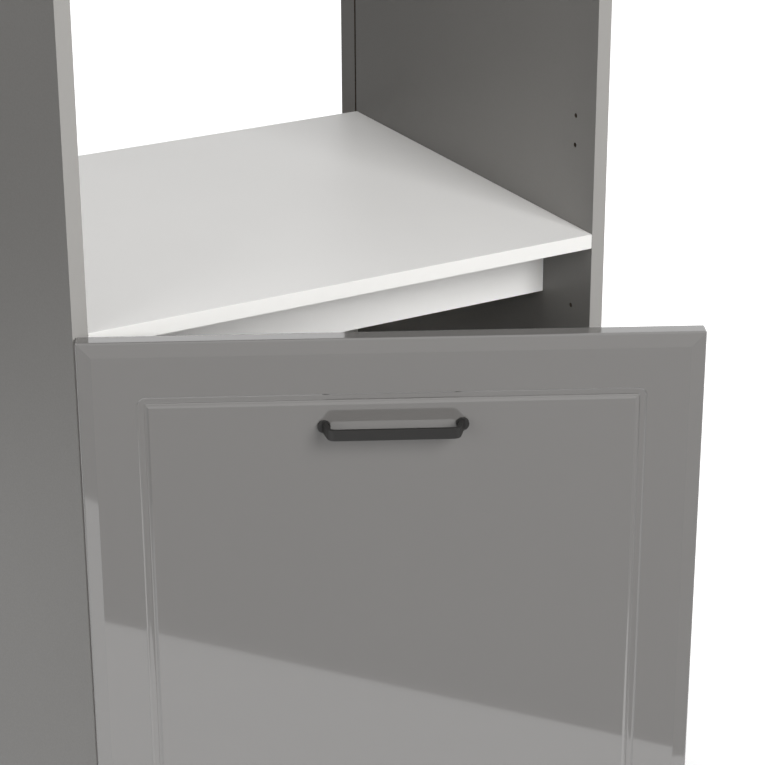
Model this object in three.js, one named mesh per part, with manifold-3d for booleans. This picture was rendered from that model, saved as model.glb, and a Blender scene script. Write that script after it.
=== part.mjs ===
import * as THREE from "three";
import { mergeVertices } from "three/addons/utils/BufferGeometryUtils.js";
import Module from "manifold-3d";

const wasm = await Module();
wasm.setup();

// Carcass, in millimetres: X to the right, Y to the back, Z up from the floor
const cabinetWidth = 600;
const cabinetHeight = 2000;
const sideDepth = 560;
const shelfDepth = 520;
const boardThickness = 16;
const glideHeight = 3;
const glideRadius = 7;
const glideInset = 45;
const toeHeight = 100;
const toeDepth = 60;
const nicheFloorTop = 820;
const nicheHeight = 597;
const nicheRailHeight = 78;
const nicheRailSetback = 92.5;
const rearRailHeight = 100;

// Thin backs in grooves along the side panels
const backThickness = 3;
const grooveWidth = 3.6;
const grooveDepth = 8;
const grooveCentre = 523.5;
const backEdgeClearance = 0.5;
const railBackClearance = 0.25;

// Rows of drilled holes in the side panels
const holeSpacing = 32;
const holeRadius = 2.5;
const holeDepth = 12;
const holeSetback = 37;
const nicheHoleRise = 104;
const pinSetbackRear = 463;

// Adjustable shelves on pins
const lowerShelfShare = 0.515;
const upperShelfShare = 0.53;
const shelfSideClearance = 1;
const shelfFront = 15;
const shelfRearGap = 5;
const pinPegRadius = 2.3;
const pinPegLength = 9;
const pinCollarRadius = 4;
const pinCollarThickness = 0.8;
const pinArmRadius = 3;
const pinArmLength = 8;
const pinSeatGap = 0.2;

// Doors
const doorThickness = 19;
const doorCarcassGap = 2;
const doorSideReveal = 2.5;
const doorEndReveal = 2;
const doorNicheReveal = 1;
const doorEdgeRound = 2;
const marginWidth = 14.5;
const marginSlope = (10.5 * Math.PI) / 180;
const frameInset = 55;
const frameGrooveWidth = 10.5;
const frameGrooveDepth = 2.6;
const frameGrooveSlope = 4.5;
const frameCornerRadius = 9;
const lowerDoorAngle = (26.43 * Math.PI) / 180;
const upperDoorAngle = 0;
const bufferRadius = 5;
const bufferThickness = 1.5;
const bufferInset = 40;

// Bow handles
const handleInset = 88;
const footSpacing = 132;
const footRadius = 6.3;
const footHeight = 3.5;
const strapHeight = 11;
const strapThickness = 4;
const handleProud = 25;
const legLean = 5.5;
const bendRadius = 6;

// Handle screws
const screwRadius = 1.9;
const screwHoleRadius = 2.3;
const screwHeadRadius = 4.2;
const screwHeadHeight = 2.4;
const screwReach = 9;
const screwFootClearance = 0.2;

// Concealed hinges, drawn in plan with the door shut
const lowerHingeShare = 0.1492;
const upperHingeShare = 0.1845;
const cupSetback = 20.5;
const cupRadius = 17.2;
const cupWall = 0.8;
const cupDepth = 12.9;
const cupPocketClearance = 0.3;
const cupReliefX = 17;
const flangeThickness = 0.6;
const flangeReach = 21;
const flangeHalfLength = 31;
const armPin = [30.2, -10.6];
const cupPin = [14.4, -3.3];
const innerArmPin = [21.4, -10.8];
const innerCupPin = [10.3, -8.4];
const outerLinkShare = -0.52;
const innerLinkShare = -0.45;
const innerLinkShort = 3.2;
const pinRadius = 1.2;
const pinRunningGap = 0.15;
const linkHalfWidth = 2;
const armHalfHeight = 3;
const linkGap = 0.4;
const cheekThickness = 1.5;
const plateThickness = 2;
const plateRibHeight = 2;
const plateRibHalf = 5.5;
const plateHalfHeight = 24;
const plateFront = 20;
const plateRear = 54;
const plateRibRear = 64;
const pegRadius = 2.3;
const pegDepth = 8;
const armRootHalf = 6.5;
const armRootThickness = 8.7;
const armRootFront = 14;
const armNoseRadius = 2;
const seatGap = 0.3;

// Shared fits
const cutOverrun = 1;
const roundSides = 16;
const holeSides = 10;
const bendSteps = 4;

// Sizes that follow from the ones above
const innerLeft = boardThickness;
const innerRight = cabinetWidth - boardThickness;
const nicheTop = nicheFloorTop + nicheHeight;
const nicheFloorUnder = nicheFloorTop - boardThickness;
const backFront = grooveCentre - backThickness / 2;
const backRear = grooveCentre + backThickness / 2;
const doorWidth = cabinetWidth - 2 * doorSideReveal;
const doorBack = -doorCarcassGap;
const doorFront = doorBack - doorThickness;
const lowerDoorFrom = toeHeight + doorEndReveal;
const lowerDoorTo = nicheFloorTop - doorNicheReveal;
const upperDoorFrom = nicheTop + doorNicheReveal;
const upperDoorTo = cabinetHeight - doorEndReveal;
const lowerHinges = hingeHeights(lowerDoorFrom, lowerDoorTo, lowerHingeShare);
const upperHinges = hingeHeights(upperDoorFrom, upperDoorTo, upperHingeShare);
const lowerShelfTop = shelfHeight(toeHeight + boardThickness, nicheFloorUnder, lowerShelfShare);
const upperShelfTop = shelfHeight(
  nicheTop + boardThickness,
  cabinetHeight - boardThickness,
  upperShelfShare,
);
const cupX = doorSideReveal + cupSetback;
const innerCheekFrom = armHalfHeight + linkGap;
const innerCheekTo = innerCheekFrom + cheekThickness;
const outerCheekFrom = innerCheekTo + linkGap;
const outerCheekTo = outerCheekFrom + cheekThickness;

// Finishes
const finishes = {
  greyBoard: { color: "#a8a6a3", roughness: 0.55, metalness: 0 },
  whiteBoard: { color: "#ebe9e4", roughness: 0.5, metalness: 0 },
  thinBack: { color: "#dcdad5", roughness: 0.6, metalness: 0 },
  greyGloss: { color: "#87888a", roughness: 0.08, metalness: 0 },
  blackMetal: { color: "#333334", roughness: 0.45, metalness: 0.6 },
  nickelSteel: { color: "#b4b2ad", roughness: 0.3, metalness: 1 },
  greyPlastic: { color: "#9a9a98", roughness: 0.6, metalness: 0 },
  clearBuffer: { color: "#d9dadb", roughness: 0.4, metalness: 0 },
};

const AXIS_X = new THREE.Vector3(1, 0, 0);
const AXIS_Y = new THREE.Vector3(0, 1, 0);
const AXIS_Z = new THREE.Vector3(0, 0, 1);
const ALONG_X = new THREE.Matrix4().makeBasis(AXIS_Y, AXIS_Z, AXIS_X);
const ALONG_Y = new THREE.Matrix4().makeBasis(AXIS_Z, AXIS_X, AXIS_Y);

// Hinge pair of a door and shelf top in a space, as shares of their heights
function hingeHeights(from, to, share) {
  const inset = (to - from) * share;
  return [from + inset, to - inset];
}

function shelfHeight(from, to, share) {
  return from + (to - from) * share;
}

// Closed surface to solid and back
function toSolid(geometry) {
  const bare = geometry.clone();
  bare.deleteAttribute("normal");
  bare.deleteAttribute("uv");
  const welded = mergeVertices(bare);
  return new wasm.Manifold(
    new wasm.Mesh({
      numProp: 3,
      vertProperties: new Float32Array(welded.attributes.position.array),
      triVerts: new Uint32Array(welded.index.array),
    }),
  );
}

function toGeometry(solid) {
  const mesh = solid.getMesh();
  const geometry = new THREE.BufferGeometry();
  geometry.setAttribute("position", new THREE.BufferAttribute(mesh.vertProperties, 3));
  geometry.setIndex(new THREE.BufferAttribute(mesh.triVerts, 1));
  return geometry;
}

function joined(first, ...others) {
  let solid = toSolid(first);
  for (const other of others) {
    solid = solid.add(toSolid(other));
  }
  return toGeometry(solid);
}

function cutBy(base, ...tools) {
  let solid = toSolid(base);
  for (const tool of tools) {
    solid = solid.subtract(toSolid(tool));
  }
  return toGeometry(solid);
}

function shared(first, ...others) {
  let solid = toSolid(first);
  for (const other of others) {
    solid = solid.intersect(toSolid(other));
  }
  return toGeometry(solid);
}

// Plain shapes placed by their limits
function block(xFrom, xTo, yFrom, yTo, zFrom, zTo) {
  const geometry = new THREE.BoxGeometry(xTo - xFrom, yTo - yFrom, zTo - zFrom);
  return geometry.translate((xFrom + xTo) / 2, (yFrom + yTo) / 2, (zFrom + zTo) / 2);
}

function outlineShape(outline) {
  return new THREE.Shape(outline.map(([u, v]) => new THREE.Vector2(u, v)));
}

function planPrism(outline, zFrom, zTo) {
  const shape = outlineShape(outline);
  const geometry = new THREE.ExtrudeGeometry(shape, { depth: zTo - zFrom, bevelEnabled: false });
  return geometry.translate(0, 0, zFrom);
}

function sidePrism(outline, xFrom, xTo) {
  const shape = outlineShape(outline);
  const geometry = new THREE.ExtrudeGeometry(shape, { depth: xTo - xFrom, bevelEnabled: false });
  return geometry.applyMatrix4(ALONG_X).translate(xFrom, 0, 0);
}

function rodAlongX(radius, xFrom, xTo, y, z, sides) {
  const geometry = new THREE.CylinderGeometry(radius, radius, xTo - xFrom, sides);
  return geometry.rotateZ(Math.PI / 2).translate((xFrom + xTo) / 2, y, z);
}

function rodAlongY(radius, yFrom, yTo, x, z, sides) {
  const geometry = new THREE.CylinderGeometry(radius, radius, yTo - yFrom, sides);
  return geometry.translate(x, (yFrom + yTo) / 2, z);
}

function rodAlongZ(radius, zFrom, zTo, x, y, sides) {
  const geometry = new THREE.CylinderGeometry(radius, radius, zTo - zFrom, sides);
  return geometry.rotateX(Math.PI / 2).translate(x, y, (zFrom + zTo) / 2);
}

// Tree of the cabinet
const cabinet = new THREE.Group();

function place(group, name, geometry, finish) {
  const mesh = new THREE.Mesh(geometry, new THREE.MeshStandardMaterial(finishes[finish]));
  mesh.name = name;
  group.add(mesh);
}

// Places in the side panels that are drilled
function drilledPlaces() {
  const places = [];
  const hingeRows = [...lowerHinges, ...upperHinges, nicheFloorTop + nicheHoleRise];
  for (const z of hingeRows) {
    places.push([holeSetback, z - holeSpacing / 2]);
    places.push([holeSetback, z + holeSpacing / 2]);
  }
  for (const top of [lowerShelfTop, upperShelfTop]) {
    for (const step of [-1, 0, 1]) {
      const z = pinHeight(top) + step * holeSpacing;
      places.push([holeSetback, z]);
      places.push([pinSetbackRear, z]);
    }
  }
  return places;
}

function pinHeight(shelfTop) {
  return shelfTop - boardThickness - pinArmRadius - pinSeatGap;
}

// Side panel with a toe notch, the back groove and blind holes in its inner face
function sidePanel(outerX, innerX) {
  const inward = Math.sign(innerX - outerX);
  const outline = [
    [toeDepth, glideHeight],
    [sideDepth, glideHeight],
    [sideDepth, cabinetHeight],
    [0, cabinetHeight],
    [0, toeHeight],
    [toeDepth, toeHeight],
  ];
  const board = sidePrism(outline, Math.min(outerX, innerX), Math.max(outerX, innerX));
  const tools = [];
  const grooveX = [innerX - inward * grooveDepth, innerX + inward * cutOverrun];
  tools.push(
    block(
      Math.min(...grooveX),
      Math.max(...grooveX),
      grooveCentre - grooveWidth / 2,
      grooveCentre + grooveWidth / 2,
      glideHeight - cutOverrun,
      cabinetHeight + cutOverrun,
    ),
  );
  const holeX = [innerX - inward * holeDepth, innerX + inward * cutOverrun];
  for (const [y, z] of drilledPlaces()) {
    tools.push(rodAlongX(holeRadius, Math.min(...holeX), Math.max(...holeX), y, z, holeSides));
  }
  return cutBy(board, ...tools);
}

// Level boards between the side panels
function levelBoard(zTop) {
  return block(innerLeft, innerRight, 0, shelfDepth, zTop - boardThickness, zTop);
}

function backPanel(zFrom, zTo) {
  const reach = grooveDepth - backEdgeClearance;
  return block(innerLeft - reach, innerRight + reach, backFront, backRear, zFrom, zTo);
}

function adjustableShelf(zTop) {
  return block(
    innerLeft + shelfSideClearance,
    innerRight - shelfSideClearance,
    shelfFront,
    shelfDepth - shelfRearGap,
    zTop - boardThickness,
    zTop,
  );
}

// Shelf pin: peg in the panel, collar against its face and a short arm under the shelf
function shelfPin(faceX, inward, y, z) {
  const span = (from, to, radius) => {
    const ends = [faceX + inward * from, faceX + inward * to];
    return rodAlongX(radius, Math.min(...ends), Math.max(...ends), y, z, roundSides);
  };
  const peg = span(-pinPegLength, pinCollarThickness, pinPegRadius);
  const collar = span(0, pinCollarThickness, pinCollarRadius);
  const arm = span(pinCollarThickness / 2, pinArmLength, pinArmRadius);
  return joined(peg, collar, arm);
}

// Door: rounded front edges, a sloping margin all round, a routed frame groove
function frontFall(from, to) {
  const creaseInset = doorEdgeRound * (1 - Math.sin(marginSlope));
  const drop = (marginWidth - creaseInset) * Math.tan(marginSlope);
  const roundCentre = doorFront + drop + doorEdgeRound * Math.cos(marginSlope);
  const sweep = Math.PI / 2 - marginSlope;
  const run = (side) => (side < 0 ? from : to);
  const round = [];
  for (const side of [-1, 1]) {
    const edge = run(side);
    const inward = -side;
    const corner = [];
    for (let step = 0; step <= bendSteps; step += 1) {
      const turn = (step / bendSteps) * sweep;
      const u = edge + inward * doorEdgeRound * (1 - Math.cos(turn));
      corner.push([u, roundCentre - doorEdgeRound * Math.sin(turn)]);
    }
    corner.push([edge + inward * marginWidth, doorFront]);
    round.push(side < 0 ? corner : corner.reverse());
  }
  return [[from, doorBack], ...round[0], ...round[1], [to, doorBack]];
}

function roundedFrame(xFrom, xTo, zFrom, zTo, radius) {
  const shape = new THREE.Shape();
  shape.moveTo(zFrom + radius, xFrom);
  shape.absarc(zFrom + radius, xFrom + radius, radius, -Math.PI / 2, -Math.PI, true);
  shape.absarc(zFrom + radius, xTo - radius, radius, Math.PI, Math.PI / 2, true);
  shape.absarc(zTo - radius, xTo - radius, radius, Math.PI / 2, 0, true);
  shape.absarc(zTo - radius, xFrom + radius, radius, 0, -Math.PI / 2, true);
  const depth = frameGrooveDepth + cutOverrun;
  const options = { depth, bevelEnabled: false, curveSegments: bendSteps };
  const geometry = new THREE.ExtrudeGeometry(shape, options);
  return geometry.applyMatrix4(ALONG_Y).translate(0, doorFront - cutOverrun, 0);
}

// Field inside the groove: a flat slab with sloping sides
function raisedField(xFrom, xTo, zFrom, zTo) {
  const back = doorFront + frameGrooveDepth + cutOverrun;
  const front = doorFront;
  const field = block(xFrom, xTo, front, back, zFrom, zTo);
  const place = field.attributes.position;
  const middleX = (xFrom + xTo) / 2;
  const middleZ = (zFrom + zTo) / 2;
  for (let i = 0; i < place.count; i += 1) {
    const atFront = place.getY(i) < (front + back) / 2;
    const grow = atFront ? 0 : frameGrooveSlope;
    place.setX(i, place.getX(i) + Math.sign(place.getX(i) - middleX) * grow);
    place.setZ(i, place.getZ(i) + Math.sign(place.getZ(i) - middleZ) * grow);
  }
  return field;
}

function door(zFrom, zTo, hinges, handleZ) {
  const xFrom = doorSideReveal;
  const xTo = xFrom + doorWidth;
  const across = planPrism(frontFall(xFrom, xTo), zFrom, zTo);
  const upright = sidePrism(
    frontFall(zFrom, zTo).map(([z, y]) => [y, z]),
    xFrom,
    xTo,
  );
  const slab = shared(across, upright);
  const outer = frameInset;
  const inner = frameInset + frameGrooveWidth;
  const groove = cutBy(
    roundedFrame(xFrom + outer, xTo - outer, zFrom + outer, zTo - outer, frameCornerRadius),
    raisedField(xFrom + inner, xTo - inner, zFrom + inner, zTo - inner),
  );
  const tools = [groove];
  const pocketEnd = doorBack - cupDepth - cupPocketClearance;
  const pocketRadius = cupRadius + cupPocketClearance;
  for (const z of hinges) {
    tools.push(rodAlongY(pocketRadius, pocketEnd, doorBack + cutOverrun, cupX, z, 2 * roundSides));
  }
  for (const x of feetPlaces()) {
    const through = [doorFront - cutOverrun, doorBack + cutOverrun];
    tools.push(rodAlongY(screwHoleRadius, ...through, x, handleZ, holeSides));
  }
  return cutBy(slab, ...tools);
}

// Bow handle: a flat strap bent out of two round feet
function feetPlaces() {
  const middle = doorSideReveal + doorWidth / 2;
  return [middle - footSpacing / 2, middle + footSpacing / 2];
}

function bentLine(points) {
  const line = [points[0]];
  for (let i = 1; i < points.length - 1; i += 1) {
    const [before, corner, after] = [points[i - 1], points[i], points[i + 1]];
    const into = new THREE.Vector2(...corner).sub(new THREE.Vector2(...before)).normalize();
    const out = new THREE.Vector2(...after).sub(new THREE.Vector2(...corner)).normalize();
    const turn = Math.acos(into.dot(out));
    const cutBack = bendRadius * Math.tan(turn / 2);
    const start = new THREE.Vector2(...corner).addScaledVector(into, -cutBack);
    const end = new THREE.Vector2(...corner).addScaledVector(out, cutBack);
    const bend = new THREE.QuadraticBezierCurve(start, new THREE.Vector2(...corner), end);
    for (const point of bend.getPoints(bendSteps)) {
      line.push([point.x, point.y]);
    }
  }
  line.push(points[points.length - 1]);
  return line;
}

function strapOutline(line, halfThickness) {
  const sides = [[], []];
  line.forEach(([x, y], i) => {
    const before = line[Math.max(i - 1, 0)];
    const after = line[Math.min(i + 1, line.length - 1)];
    const along = new THREE.Vector2(after[0] - before[0], after[1] - before[1]).normalize();
    sides[0].push([x - along.y * halfThickness, y + along.x * halfThickness]);
    sides[1].push([x + along.y * halfThickness, y - along.x * halfThickness]);
  });
  return [...sides[0], ...sides[1].reverse()];
}

function bowHandle(z) {
  const [left, right] = feetPlaces();
  const rootY = doorFront - seatGap;
  const barY = doorFront - handleProud + strapThickness / 2;
  const path = [
    [left, rootY - footHeight / 2],
    [left + legLean, barY],
    [right - legLean, barY],
    [right, rootY - footHeight / 2],
  ];
  const outline = strapOutline(bentLine(path), strapThickness / 2);
  const strap = planPrism(outline, z - strapHeight / 2, z + strapHeight / 2);
  const feet = [left, right].map((x) =>
    rodAlongY(footRadius, rootY - footHeight, rootY, x, z, roundSides),
  );
  const sockets = [left, right].map((x) => {
    const end = doorFront - seatGap - screwSocket();
    return rodAlongY(screwRadius + screwFootClearance, end, doorFront, x, z, holeSides);
  });
  return cutBy(joined(strap, ...feet), ...sockets);
}

function screwSocket() {
  return screwReach + screwFootClearance;
}

function handleScrew(x, z) {
  const headFrom = doorBack + seatGap;
  const head = rodAlongY(screwHeadRadius, headFrom, headFrom + screwHeadHeight, x, z, roundSides);
  const tip = doorFront - seatGap - screwReach + screwFootClearance;
  const shank = rodAlongY(screwRadius, tip, headFrom + screwHeadHeight / 2, x, z, holeSides);
  return joined(head, shank);
}

function doorBuffer(z) {
  const x = cabinetWidth - boardThickness / 2;
  const seat = doorBack + seatGap / 2;
  return rodAlongY(bufferRadius, seat, seat + bufferThickness, x, z, roundSides);
}

// Hinge plate on the side panel: base with two pegs in the drilled pair and a rib for the arm
function hingePlate(z) {
  const face = innerLeft;
  const base = block(
    face,
    face + plateThickness,
    plateFront,
    plateRear,
    z - plateHalfHeight,
    z + plateHalfHeight,
  );
  const rib = block(
    face,
    face + plateThickness + plateRibHeight,
    plateFront - plateThickness,
    plateRibRear,
    z - plateRibHalf,
    z + plateRibHalf,
  );
  const pegs = [-1, 1].map((side) => {
    const pegZ = z + (side * holeSpacing) / 2;
    return rodAlongX(pegRadius, face - pegDepth, face + plateThickness / 2, holeSetback, pegZ, holeSides);
  });
  return joined(base, rib, ...pegs);
}

// Arm: a block clipped on the rib, with a narrow nose that carries both link pins
function hingeArm(z) {
  const rootX = innerLeft + plateThickness + plateRibHeight + seatGap;
  const rootTo = rootX + armRootThickness;
  const root = block(
    rootX,
    rootTo,
    armRootFront,
    plateRibRear,
    z - armRootHalf,
    z + armRootHalf,
  );
  const nose = planPrism(
    [
      [rootX, armRootFront + armRootHalf],
      [innerArmPin[0] - armNoseRadius, innerArmPin[1] + armNoseRadius],
      [innerArmPin[0] - armNoseRadius, innerArmPin[1] - armNoseRadius / 2],
      [innerArmPin[0] - armNoseRadius / 2, innerArmPin[1] - armNoseRadius],
      [armPin[0] + armNoseRadius / 2, armPin[1] - armNoseRadius],
      [armPin[0] + armNoseRadius, armPin[1] - armNoseRadius / 2],
      [armPin[0] + armNoseRadius, armPin[1] + armNoseRadius],
      [rootTo, armRootFront + armRootHalf],
    ],
    z - armHalfHeight,
    z + armHalfHeight,
  );
  const bores = [armPin, innerArmPin].map(([x, y]) => {
    const from = z - armHalfHeight - cutOverrun;
    return rodAlongZ(pinRadius + pinRunningGap, from, z + armHalfHeight + cutOverrun, x, y, roundSides);
  });
  return cutBy(joined(root, nose), ...bores);
}

// Flat link cheek between two pins
function cheekOutline(from, to) {
  const along = Math.atan2(to[1] - from[1], to[0] - from[0]);
  const outline = [];
  for (const [centre, start] of [
    [to, along - Math.PI / 2],
    [from, along + Math.PI / 2],
  ]) {
    for (let step = 0; step <= bendSteps; step += 1) {
      const turn = start + (step / bendSteps) * Math.PI;
      outline.push([
        centre[0] + linkHalfWidth * Math.cos(turn),
        centre[1] + linkHalfWidth * Math.sin(turn),
      ]);
    }
  }
  return outline;
}

function cheekPair(from, to, near, far, z) {
  const outline = cheekOutline(from, to);
  return [planPrism(outline, z + near, z + far), planPrism(outline, z - far, z - near)];
}

function outerLink(z) {
  const cheeks = cheekPair(armPin, cupPin, outerCheekFrom, outerCheekTo, z);
  const axle = rodAlongZ(pinRadius, z - outerCheekTo, z + outerCheekTo, ...armPin, roundSides);
  const bore = rodAlongZ(
    pinRadius + pinRunningGap,
    z - outerCheekTo - cutOverrun,
    z + outerCheekTo + cutOverrun,
    ...cupPin,
    roundSides,
  );
  return cutBy(joined(axle, ...cheeks), bore);
}

// Inner link, drawn where it lies at the photographed angle; its cup end is the open pivot
function innerLinkEnd() {
  const pin = carriedByDoor(innerCupPin, lowerDoorAngle);
  const reach = Math.hypot(pin[0] - innerArmPin[0], pin[1] - innerArmPin[1]);
  const keep = (reach - innerLinkShort) / reach;
  return [
    innerArmPin[0] + (pin[0] - innerArmPin[0]) * keep,
    innerArmPin[1] + (pin[1] - innerArmPin[1]) * keep,
  ];
}

function innerLink(z) {
  const end = innerLinkEnd();
  const cheeks = cheekPair(innerArmPin, end, innerCheekFrom, innerCheekTo, z);
  const axle = rodAlongZ(pinRadius, z - innerCheekTo, z + innerCheekTo, ...innerArmPin, roundSides);
  const eye = rodAlongZ(pinRadius, z - innerCheekTo, z + innerCheekTo, ...end, roundSides);
  return joined(axle, eye, ...cheeks);
}

// Cup let into the door, with its flange on the door's back and stub pins in its side walls
function hingeCup(z) {
  const rimY = doorBack + seatGap + flangeThickness;
  const floorY = doorBack - cupDepth;
  const bore = cupRadius - cupWall;
  const profile = [
    [0, floorY],
    [cupRadius, floorY],
    [cupRadius, rimY],
    [bore, rimY],
    [bore, floorY + cupWall],
    [0, floorY + cupWall],
  ];
  const lathe = new THREE.LatheGeometry(
    profile.map(([r, y]) => new THREE.Vector2(r, y)),
    2 * roundSides,
  );
  const shell = lathe.translate(cupX, 0, z);
  const relief = block(
    cupX - 2 * cupRadius,
    cupReliefX,
    doorBack,
    rimY + cutOverrun,
    z - cupRadius,
    z + cupRadius,
  );
  const flange = cutBy(
    block(
      cupReliefX,
      cupReliefX + flangeReach,
      doorBack + seatGap,
      rimY,
      z - flangeHalfLength,
      z + flangeHalfLength,
    ),
    rodAlongY(bore, doorBack, rimY + cutOverrun, cupX, z, 2 * roundSides),
  );
  const stubs = [];
  for (const [x, y] of [cupPin, innerCupPin]) {
    const offset = Math.abs(x - cupX) + pinRadius;
    const chord = Math.sqrt((cupRadius - cupWall / 2) ** 2 - offset ** 2);
    const near = innerCheekTo + linkGap / 2;
    stubs.push(rodAlongZ(pinRadius, z + near, z + chord, x, y, roundSides));
    stubs.push(rodAlongZ(pinRadius, z - chord, z - near, x, y, roundSides));
  }
  return joined(cutBy(shell, relief), flange, ...stubs);
}

// Where the linkage carries a point of the door when the door has opened by an angle
function turnedAbout(centre, point, clockwise) {
  const moved = new THREE.Vector2(...point);
  moved.rotateAround(new THREE.Vector2(...centre), -clockwise);
  return [moved.x, moved.y];
}

function carriedByDoor(point, angle) {
  const pinNow = turnedAbout(armPin, cupPin, outerLinkShare * angle);
  const spot = turnedAbout(cupPin, point, angle);
  return [spot[0] + pinNow[0] - cupPin[0], spot[1] + pinNow[1] - cupPin[1]];
}

function turnedGroup(pivot, pivotNow, clockwise) {
  const group = new THREE.Group();
  const [x, y] = turnedAbout([0, 0], pivot, clockwise);
  group.rotation.z = -clockwise;
  group.position.set(pivotNow[0] - x, pivotNow[1] - y, 0);
  cabinet.add(group);
  return group;
}

// One door with its handle, buffers and two hinges, opened by an angle
function hungDoor(prefix, zFrom, zTo, hinges, handleZ, angle) {
  const doorGroup = turnedGroup(cupPin, carriedByDoor(cupPin, angle), angle);
  const outerGroup = turnedGroup(armPin, armPin, outerLinkShare * angle);
  const innerGroup = turnedGroup(innerArmPin, innerArmPin, innerLinkShare * (angle - lowerDoorAngle));
  place(doorGroup, prefix + "_door", door(zFrom, zTo, hinges, handleZ), "greyGloss");
  place(doorGroup, prefix + "_handle", bowHandle(handleZ), "blackMetal");
  const sides = ["left", "right"];
  feetPlaces().forEach((x, i) => {
    place(doorGroup, prefix + "_handle_screw_" + sides[i], handleScrew(x, handleZ), "nickelSteel");
  });
  const ends = ["bottom", "top"];
  [zFrom + bufferInset, zTo - bufferInset].forEach((z, i) => {
    place(doorGroup, prefix + "_buffer_" + ends[i], doorBuffer(z), "clearBuffer");
  });
  hinges.forEach((z, i) => {
    const stem = prefix + "_hinge_" + ends[i];
    place(cabinet, stem + "_plate", hingePlate(z), "nickelSteel");
    place(cabinet, stem + "_arm", hingeArm(z), "nickelSteel");
    place(outerGroup, stem + "_outer_link", outerLink(z), "nickelSteel");
    place(innerGroup, stem + "_inner_link", innerLink(z), "nickelSteel");
    place(doorGroup, stem + "_cup", hingeCup(z), "nickelSteel");
  });
}

// Carcass
place(cabinet, "side_panel_left", sidePanel(0, innerLeft), "greyBoard");
place(cabinet, "side_panel_right", sidePanel(cabinetWidth, innerRight), "greyBoard");
place(cabinet, "bottom_panel", levelBoard(toeHeight + boardThickness), "whiteBoard");
place(cabinet, "niche_floor_shelf", levelBoard(nicheFloorTop), "whiteBoard");
place(cabinet, "niche_top_shelf", levelBoard(nicheTop + boardThickness), "whiteBoard");
place(cabinet, "top_panel", levelBoard(cabinetHeight), "whiteBoard");
place(
  cabinet,
  "niche_front_rail",
  block(
    innerLeft,
    innerRight,
    nicheRailSetback,
    nicheRailSetback + boardThickness,
    nicheFloorUnder - nicheRailHeight,
    nicheFloorUnder,
  ),
  "whiteBoard",
);
place(
  cabinet,
  "rear_fixing_rail",
  block(
    innerLeft,
    innerRight,
    backRear + railBackClearance,
    backRear + railBackClearance + boardThickness,
    cabinetHeight - rearRailHeight,
    cabinetHeight,
  ),
  "whiteBoard",
);
place(
  cabinet,
  "plinth_board",
  block(innerLeft, innerRight, toeDepth, toeDepth + boardThickness, glideHeight, toeHeight),
  "greyBoard",
);
place(cabinet, "lower_back_panel", backPanel(toeHeight, nicheFloorUnder), "thinBack");
place(cabinet, "upper_back_panel", backPanel(nicheTop, cabinetHeight), "thinBack");

// Adjustable shelves and their pins
for (const [prefix, top] of [
  ["lower", lowerShelfTop],
  ["upper", upperShelfTop],
]) {
  place(cabinet, prefix + "_shelf", adjustableShelf(top), "whiteBoard");
  for (const [side, faceX, inward] of [
    ["left", innerLeft, 1],
    ["right", innerRight, -1],
  ]) {
    for (const [end, y] of [
      ["front", holeSetback],
      ["rear", pinSetbackRear],
    ]) {
      const name = [prefix, "shelf_pin", side, end].join("_");
      place(cabinet, name, shelfPin(faceX, inward, y, pinHeight(top)), "nickelSteel");
    }
  }
}

// Glides under the side panels
for (const [side, x] of [
  ["left", boardThickness / 2],
  ["right", cabinetWidth - boardThickness / 2],
]) {
  for (const [end, y] of [
    ["front", toeDepth + glideInset],
    ["rear", sideDepth - glideInset],
  ]) {
    const glide = rodAlongZ(glideRadius, 0, glideHeight, x, y, roundSides);
    place(cabinet, ["glide", side, end].join("_"), glide, "greyPlastic");
  }
}

// Doors: the lower one ajar as photographed, the upper one shut
hungDoor(
  "lower",
  lowerDoorFrom,
  lowerDoorTo,
  lowerHinges,
  lowerDoorTo - handleInset,
  lowerDoorAngle,
);
hungDoor(
  "upper",
  upperDoorFrom,
  upperDoorTo,
  upperHinges,
  upperDoorFrom + handleInset,
  upperDoorAngle,
);

// Origin at the bottom centre of the whole outline
const outline = new THREE.Box3().setFromObject(cabinet, true);
const middle = outline.getCenter(new THREE.Vector3());
cabinet.position.set(-middle.x, -middle.y, 0);

const pantryCabinet = new THREE.Group();
pantryCabinet.add(cabinet);

export default pantryCabinet;
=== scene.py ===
"""Looks of a tall kitchen cabinet: boards, framed gloss doors, bow handles, hinges and a plain studio."""

import math
from contextlib import contextmanager

import bmesh
import bpy
from bpy.props import FloatProperty, PointerProperty, StringProperty
from mathutils import Matrix, Vector


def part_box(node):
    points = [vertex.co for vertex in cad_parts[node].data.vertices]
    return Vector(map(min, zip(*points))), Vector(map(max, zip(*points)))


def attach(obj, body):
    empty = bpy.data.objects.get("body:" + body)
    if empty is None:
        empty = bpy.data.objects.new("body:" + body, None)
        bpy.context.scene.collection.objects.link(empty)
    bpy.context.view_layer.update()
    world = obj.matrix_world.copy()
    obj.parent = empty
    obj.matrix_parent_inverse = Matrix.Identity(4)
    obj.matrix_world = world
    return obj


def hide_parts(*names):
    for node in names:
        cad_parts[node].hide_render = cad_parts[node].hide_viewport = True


bl_info = {
    "name": "Kitchen pantry cabinet",
    "version": (1, 0, 0),
    "blender": (4, 5, 0),
    "location": "View3D > Sidebar > Cabinet",
    "description": "Builds a tall kitchen cabinet with framed gloss doors on its packed frame",
    "category": "Object",
}

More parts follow.
